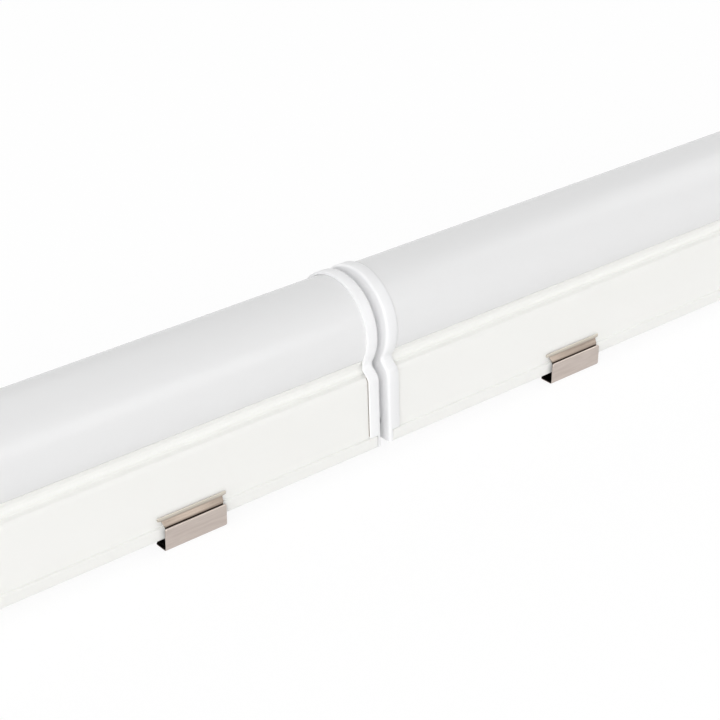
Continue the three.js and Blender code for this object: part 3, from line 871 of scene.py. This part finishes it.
def gasket_lip(side):
    """The gasket's edge in the slit between the housing and the skirt, up one side; it is dark so
    that it paints the slit's shade.

    A rectangle, from the plate almost to the skirt's edge and from the housing almost to the skirt,
    is carried up the leaning side and round the shoulder.
    """
    foot = rail_height + clearance * 2
    to_side = np.array([side, 1])
    near, away = [
        np.concatenate([[[side_half_at(foot) + proud, foot]], shoulder(proud)]) * to_side
        for proud in (lip_clear, cap_proud - skirt_wall - lip_clear)
    ]
    back, front = cap_plate, cap_depth - lip_setback
    grid = stacked([(back, near), (front, near), (front, away), (back, away)])
    return make_mesh("gasket_lip", *capped_skin(grid.transpose(1, 0, 2)))


def cap_screw(side):
    """A countersunk screw with a cross recess.

    The thread's radius is less by its depth times the size of a sawtooth, which goes from -1 to 1
    with (X / pitch - angle / full turn).
    """
    x = np.linspace(screw_head_depth, screw_length - screw_point, thread_rows)[:, None]
    angle = np.linspace(0, full_turn, screw_facets, endpoint=False)
    sawtooth = 2 * ((x / thread_pitch - angle / full_turn) % 1) - 1
    radius = screw_radius - thread_depth * np.abs(sawtooth)
    thread = np.stack([
        np.broadcast_to(x, radius.shape),
        side + radius * np.cos(angle),
        port_height + radius * np.sin(angle),
    ], axis=2)
    rim = [(screw_seat + depth, screw_head_radius - inwards) for depth, inwards in screw_head_rim]
    head = turned([(screw_seat, screw_head_radius / 2), *rim], port_height, side, screw_facets)
    tip = turned([(screw_length, screw_point_radius)], port_height, side, screw_facets)
    points, faces = capped_skin(np.concatenate([head, thread, tip]))
    recess = [
        block(
            (-overcut, side - across, port_height - up),
            (recess_depth, side + across, port_height + up),
        )
        for across, up in [(recess_arm, recess_half), (recess_half, recess_arm)]
    ]
    return cut(make_mesh("cap_screw", points, faces), recess)


def inlet_socket():
    """A cup of rounded rectangles: its floor inside, its wall, its rounded mouth and its back."""
    outside = socket_clear + socket_wall
    grid = plug_grid([
        (socket_depth, socket_clear - socket_corner),
        (socket_depth - socket_corner, socket_clear),
        (socket_lip * 2, socket_clear),
        (socket_lip / 2, socket_clear + socket_lip / 2),
        (0, socket_clear + socket_lip),
        (0, outside - socket_lip),
        (socket_lip / 2, outside - socket_lip / 4),
        (socket_lip, outside),
        (socket_depth + socket_floor, outside),
    ])
    return make_mesh("inlet_socket", *capped_skin(grid))


def contact_pin(place):
    """A round pin with a domed tip, standing in a collar on the socket's floor."""
    dome = [
        (pin_tip + pin_radius * (1 - math.cos(turn)), pin_radius * math.sin(turn))
        for turn in np.linspace(pin_dome_start, quarter_turn, dome_facets + 1)
    ]
    collar_top, collar_radius = socket_depth - collar_height, pin_radius + collar_wall
    collar = [
        (collar_top, pin_radius),
        (collar_top, collar_radius - collar_edge),
        (collar_top + collar_edge, collar_radius),
        (socket_depth + collar_sunk, collar_radius),
        (socket_depth + collar_sunk, pin_radius),
        (pin_tail, pin_radius),
    ]
    return make_mesh("contact_pin", *capped_skin(turned(dome + collar, plug_height, place)))


def outlet_plug():
    """Rounded rectangles from the tip to the tail, with the seal's groove and the inner flange."""
    tip = -(link_gap + plug_reach)
    groove_end = -(link_gap + seal_setback) + clearance
    groove_start = groove_end - seal_length - clearance * 2
    flange_end = body_start + plug_flange_wall
    grid = plug_grid([
        *[(tip + depth, proud) for depth, proud in plug_tip],
        (groove_start - groove_edge, 0),
        (groove_start, -groove_edge),
        (groove_start, -groove_depth),
        (groove_end, -groove_depth),
        (groove_end, -groove_edge),
        (groove_end + groove_edge, 0),
        (body_start, 0),
        (body_start, plug_flange),
        (flange_end, plug_flange),
        (flange_end, 0),
        (plug_tail, 0),
    ])
    mouth_radius = pin_radius + contact_mouth
    bore = [
        (tip - overcut, mouth_radius + contact_mouth_rise),
        (tip, mouth_radius),
        (tip + contact_funnel, pin_radius + clearance),
        (tip + contact_bore, pin_radius + clearance),
    ]
    bores = [capped_skin(turned(bore, plug_height, place)) for place in contact_places]
    return cut(make_mesh("outlet_plug", *capped_skin(grid)), bores)


def plug_seal():
    """A ring whose outside swells twice.

    It stands proud by seal_least plus seal_swell times the size of a sine over its length.
    """
    end = -(link_gap + seal_setback)
    start = end - seal_length
    wave = np.abs(np.sin(np.linspace(0, full_turn, seal_rows)))
    outside = zip(np.linspace(start, end, seal_rows), seal_least + seal_swell * wave)
    grid = plug_grid([*outside, (end, seal_inside), (start, seal_inside)])
    return make_mesh("plug_seal", *ring_skin(grid))


def blanking_cap():
    """A closed sleeve over the plug, with grip grooves round it and a rolled rim at its mouth.

    A groove is grip_depth times the lower half of (grip_flatness times a cosine), cut off at -1.
    """
    mouth = -clearance
    room_end = -(link_gap + plug_reach) - blank_room
    closed_end = room_end - socket_floor
    outside = socket_clear + socket_wall
    rim = outside + blank_rim
    rim_start = mouth - blank_rim_width
    wave = np.cos(np.linspace(0, grip_count * full_turn, grip_rows))
    groove = grip_depth * np.clip(wave * grip_flatness, -1, 0)
    x = np.linspace(closed_end + grip_from_end, mouth - grip_from_mouth, grip_rows)
    grid = plug_grid([
        *[(closed_end + depth, outside + proud) for depth, proud in blank_end],
        *zip(x, outside + groove),
        (rim_start - blank_rim_foot, outside),
        (rim_start, outside + blank_rim_edge),
        (rim_start, rim - blank_rim_foot),
        (rim_start + blank_rim_edge, rim),
        (mouth - blank_rim_edge, rim),
        (mouth, rim - blank_rim_edge),
        (mouth, socket_clear + blank_rim_edge),
        (mouth - blank_rim_edge, socket_clear),
        (room_end, socket_clear),
    ])
    return make_mesh("blanking_cap", *capped_skin(grid))


sides = [("left", -1), ("right", 1)]
ends = [("inlet", False), ("outlet", True)]
socket_hole = socket_clear + socket_wall + hole_clear
housing_mesh = long_piece("housing", housing_outline())
port_mesh = screw_port()
diffuser_mesh = long_piece("diffuser", diffuser_outline())

# Each piece's name, mesh, finish, the CAD nodes it stands for, and whether it is turned round
batten_pieces = [
    ("housing_shell", housing_mesh, "housing_white", ["housing"], False),
    ("screw_port_right", port_mesh, "housing_white", [], False),
    ("screw_port_left", port_mesh, "housing_white", [], True),
    ("diffuser_shell", diffuser_mesh, "opal_diffuser", ["diffuser"], False),
    ("inlet_cap_moulding", end_cap("inlet_cap", socket_hole), "cap_white", ["inlet_cap"], False),
    ("outlet_cap_moulding", end_cap("outlet_cap", hole_clear), "cap_white", ["outlet_cap"], True),
]
for side_name, side in sides:
    # The gasket's dark edge fills each slit as painted shade for it
    lip = gasket_lip(side)
    for end_name, turned_round in ends:
        lip_name = f"{end_name}_gasket_lip_{side_name}"
        batten_pieces.append((lip_name, lip, "gasket_foam", [], turned_round))
for side_name, side in sides:
    screw = cap_screw(side * port_side)
    for end_name, turned_round in ends:
        node = f"{end_name}_screw_{side_name}"
        batten_pieces.append((f"{node}_turned", screw, "screw_steel", [node], turned_round))
batten_pieces.append(
    ("inlet_socket_cup", inlet_socket(), "connector_white", ["inlet_socket"], False)
)
for pin_name, place in zip(["line", "earth", "neutral"], contact_places):
    node = f"inlet_pin_{pin_name}"
    batten_pieces.append((f"{pin_name}_contact", contact_pin(place), "brass_pin", [node], False))
batten_pieces += [
    ("outlet_plug_moulding", outlet_plug(), "connector_white", ["outlet_plug"], True),
    ("seal_ring", plug_seal(), "seal_rubber", ["plug_seal"], True),
]

for batten, start in [("near", near_start), ("far", far_start)]:
    for name, mesh, finish, nodes, turned_round in batten_pieces:
        add_piece(
            f"{batten}_{name}",
            mesh,
            start + batten_length * MM if turned_round else start,
            f"{batten}_batten",
            finish,
            [f"{batten}_{node}" for node in nodes],
            turned_round,
        )

far_end = far_start + batten_length * MM
add_piece(
    "blanking_cap_moulding", blanking_cap(), far_end, "blanking_cap", "connector_white",
    ["blanking_cap"], True,
)


# Clips

def strip(name, path, half_widths, thickness):
    """A bent strip: a small rounded rectangle carried along a path of (Y, Z) points.

    The rectangle's width lies along X and may change along the path; its thickness is square to the
    path. A point is the path's point, plus thickness times the path's normal, plus width along X.
    Near both ends of the path the thickness falls as a half circle does.
    """
    run = np.concatenate([[0], np.cumsum(np.linalg.norm(np.diff(path, axis=0), axis=1))])
    short = 1 - np.clip(np.minimum(run, run[-1] - run) / (thickness / 2), 0, 1)
    fullness = np.sqrt(1 - (short * strip_end_share) ** 2)[:, None]
    direction = np.gradient(path, axis=0)
    direction /= np.linalg.norm(direction, axis=1, keepdims=True)
    normal = np.stack([-direction[:, 1], direction[:, 0]], axis=1)
    # The loop's sides lie at 1 and -1, and half_widths moves them out
    loop = rounded_rectangle(2, thickness, thickness * strip_corner_share, 0, strip_facets)
    inset = np.abs(loop[:, 0]) - 1
    x = np.sign(loop[:, 0])[None, :] * (half_widths[:, None] + inset[None, :])
    y = path[:, 0:1] + normal[:, 0:1] * fullness * loop[None, :, 1]
    z = path[:, 1:2] + normal[:, 1:2] * fullness * loop[None, :, 1]
    return make_mesh(name, *capped_skin(np.stack([x, y, z], axis=2)))


def along(points):
    """Points at even steps along a chain of points, with the chain's own points kept."""
    pieces = [
        np.linspace(a, b, max(math.ceil(np.linalg.norm(b - a) / strip_step), 1), endpoint=False)
        for a, b in zip(points[:-1], points[1:])
    ]
    return np.concatenate([*pieces, points[-1:]])


def softened(chain, reach):
    """A chain whose inner corners become parabolas; its two ends stay."""
    curve = corner_curves(chain[:-2], chain[1:-1], chain[2:], reach)
    return np.concatenate([chain[:1], curve.reshape(-1, 2), chain[-1:]])


def strip_path(half, thickness):
    """A half path from the middle outwards, led in from its mirror image on the other side.

    Its last step is split at (1 - sine) shares of half the thickness from its end.
    """
    half = along(half)
    way = half[-1] - half[-2]
    back = thickness / 2 * (1 - np.sin(np.linspace(0, quarter_turn, rim_facets + 1)))
    half = np.concatenate([half[:-1], half[-1] - back[:, None] * way / np.linalg.norm(way)])
    return np.concatenate([(half[1:] * mirror)[::-1], half])


def clip_slot():
    """A slot's cutter: two half circles joined by straight sides, through the base."""
    right = arc(clip_slot_reach, 0, clip_slot_half, -quarter_turn, quarter_turn, slot_facets)
    outline = np.concatenate([right, -right])
    rows = [
        np.column_stack([outline, np.full(len(outline), height)])
        for height in (-clip_drop - overcut, 0)
    ]
    return capped_skin(np.array(rows))


def clip_bracket():
    """The bracket: a narrow base strap that widens through round corners to its side plates.

    A corner is a quarter of an ellipse, and so are the plates' upper corners.
    """
    middle = -clip_drop + clip_wall / 2
    bend = clip_bend - clip_wall / 2
    path = strip_path(np.concatenate([
        [[0, middle]],
        arc(clip_half - clip_bend, -clip_drop + clip_bend, bend, -quarter_turn, 0, bend_facets),
        [[clip_half - clip_wall / 2, clip_plate_top]],
    ]), clip_wall)
    to_end = np.clip((clip_strap_end - np.abs(path[:, 0])) / clip_strap_corner, 0, 1)
    widening = np.sqrt(1 - to_end ** 2)
    to_top = np.clip(clip_plate_corner - (clip_plate_top - path[:, 1]), 0, clip_plate_corner)
    narrowing = clip_plate_corner * (1 - np.sqrt(1 - (to_top / clip_plate_corner) ** 2))
    half_widths = clip_strap_half + (clip_width / 2 - clip_strap_half) * widening - narrowing
    return cut(strip("clip_bracket", path, half_widths, clip_wall), [clip_slot()])


def clip_spring():
    """The spring: flat on the base, raised under the rails, up beside them and in over their tops.

    It is as narrow as the strap under the rails and widens evenly up its leaves.
    """
    leaf_half = clip_half - clip_wall - clearance - spring_wall / 2
    touch_half = side_half_at(contact_height) + clearance + spring_wall / 2
    flat = -clip_drop + clip_wall + clearance + spring_wall / 2
    pad = -clearance - spring_wall / 2
    half = np.concatenate([
        [[0, flat], [spring_flat_half, flat], [spring_ramp_half, pad]],
        arc(leaf_half - spring_bend, pad + spring_bend, spring_bend, -quarter_turn, 0, bend_facets),
        [[leaf_half, spring_knee], [touch_half, contact_height]],
        [[touch_half + flare_reach, contact_height + flare_rise]],
    ])
    path = strip_path(softened(half, spring_ease), spring_wall)
    heights = [pad + spring_widening, spring_bend, contact_height]
    widths = [clip_strap_half, clip_width / 2 - spring_taper, clip_width / 2]
    half_widths = np.interp(path[:, 1], heights, widths)
    half_widths[path[:, 1] > contact_height + flare_start] = clip_width / 2 + flare_extra
    return cut(strip("clip_spring", path, half_widths, spring_wall), [clip_slot()])


clip_pieces = [
    ("bracket", clip_bracket(), "clip_steel"),
    ("spring", clip_spring(), "spring_steel"),
]
for clip in ["near_outer_clip", "near_inner_clip", "far_inner_clip", "far_outer_clip"]:
    low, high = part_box(f"{clip}_bracket")
    centre = (low.x + high.x) / 2
    for part, mesh, finish in clip_pieces:
        name = f"{clip.removesuffix('_clip')}_{part}_strip"
        add_piece(name, mesh, centre, clip, finish, [f"{clip}_{part}"])


# Floor, lights and camera

floor_reach = 20
floor_white = (0.96, 0.96, 0.96, 1)
floor_glow = 1.02
floor_share = 0.88
share_grows_from = 1
share_grows_to = 3
sky_light = 0.13

# Each lamp's direction from the joint, its distance and size in metres, and its power in watts
lamps = [
    ("main_lamp", (-0.564, -0.675, 0.476), 4.0, 2.4, 88.0),
    ("left_lamp", (-0.8, -0.45, 0.4), 4.0, 2.4, 38.0),
    ("back_lamp", (0.0, 0.4, 0.9), 4.0, 4.0, 46.0),
    ("rear_lamp", (-0.05, 0.87, 0.4), 4.0, 2.4, 42.0),
    ("right_lamp", (0.85, -0.2, 0.5), 2.0, 1.2, 6.0),
    ("key_lamp", (0.35, -0.81, 0.37), 1.0, 0.4, 0.85),
]

view_turn = math.radians(-39.91)
view_rise = math.radians(28.42)
view_roll = math.radians(0.17)
view_from_joint = (-0.3818, -0.463, 0.3492)
view_nearest, view_furthest = 0.01, 100
sensor_width = 36
lens = 98.75


def seen_directly(tree):
    """One where a camera, glossy or transmission ray arrives, and zero elsewhere."""
    path = add_node(tree, "ShaderNodeLightPath")
    total = path.outputs["Is Camera Ray"]
    for ray in ["Is Glossy Ray", "Is Transmission Ray"]:
        inputs = {0: total, 1: path.outputs[ray]}
        total = add_node(tree, "ShaderNodeMath", inputs, operation="MAXIMUM").outputs[0]
    return total


def floor_material():
    """A lit matt white, mixed with an even white where the camera or a shine sees it.

    The even white's share is floor_share round the object and grows to one further out.
    """
    material = empty_material("studio_floor")
    tree = material.node_tree
    place = add_node(tree, "ShaderNodeTexCoord").outputs["Object"]
    away = add_node(tree, "ShaderNodeVectorMath", {0: place}, operation="LENGTH")
    evenness = add_node(tree, "ShaderNodeMapRange", {
        "Value": away.outputs["Value"],
        "From Min": share_grows_from,
        "From Max": share_grows_to,
        "To Min": floor_share,
        "To Max": 1,
    })
    matt = add_node(tree, "ShaderNodeBsdfDiffuse", {"Color": floor_white})
    even = add_node(tree, "ShaderNodeEmission", {"Strength": floor_glow})
    share = product(tree, seen_directly(tree), evenness.outputs["Result"])
    inputs = {"Fac": share, 1: matt.outputs[0], 2: even.outputs[0]}
    mix = add_node(tree, "ShaderNodeMixShader", inputs)
    add_node(tree, "ShaderNodeOutputMaterial", {"Surface": mix.outputs[0]})
    return material


def studio_floor():
    """A wide square floor under the object."""
    signs = [(-1, -1), (1, -1), (1, 1), (-1, 1)]
    corners = [(x * floor_reach, y * floor_reach, 0) for x, y in signs]
    mesh = bpy.data.meshes.new("studio_floor")
    mesh.from_pydata(corners, [], [(0, 1, 2, 3)])
    mesh.materials.append(floor_material())
    in_scene("studio_floor", mesh)


def studio_sky():
    """A white sky that lights with a strength of its own."""
    world = bpy.data.worlds.new("studio_sky")
    bpy.context.scene.world = world
    world.use_nodes = True
    tree = world.node_tree
    background = tree.nodes["Background"]
    background.inputs["Color"].default_value = (1, 1, 1, 1)
    inputs = {"Value": seen_directly(tree), "To Min": sky_light, "To Max": 1.0}
    strength = add_node(tree, "ShaderNodeMapRange", inputs)
    tree.links.new(strength.outputs["Result"], background.inputs["Strength"])


def soft_lamp(name, direction, distance, size, power):
    """A square soft lamp that faces the joint from a direction."""
    lamp = bpy.data.lights.new(name, "AREA")
    lamp.size = size
    lamp.energy = power
    thing = in_scene(name, lamp)
    way = np.array(direction) / np.linalg.norm(direction)
    thing.location = way * distance + np.array([joint_x, 0, underside + lip_height * MM])
    thing.rotation_euler = (math.acos(way[2]), 0, math.atan2(way[0], -way[1]))


studio_floor()
studio_sky()
for lamp in lamps:
    soft_lamp(*lamp)

camera_data = bpy.data.cameras.new("camera")
camera_data.sensor_fit = "HORIZONTAL"
camera_data.sensor_width = sensor_width
camera_data.lens = lens
camera_data.clip_start = view_nearest
camera_data.clip_end = view_furthest
camera = in_scene("camera", camera_data)
camera.rotation_mode = "XYZ"
camera.rotation_euler = (quarter_turn - view_rise, 0, view_turn)
camera.location = np.array(view_from_joint) + (joint_x, 0, underside)
camera.rotation_euler.rotate_axis("Z", view_roll)
bpy.context.scene.camera = camera
bpy.context.scene.view_settings.view_transform = "Standard"

bpy.context.view_layer.update()
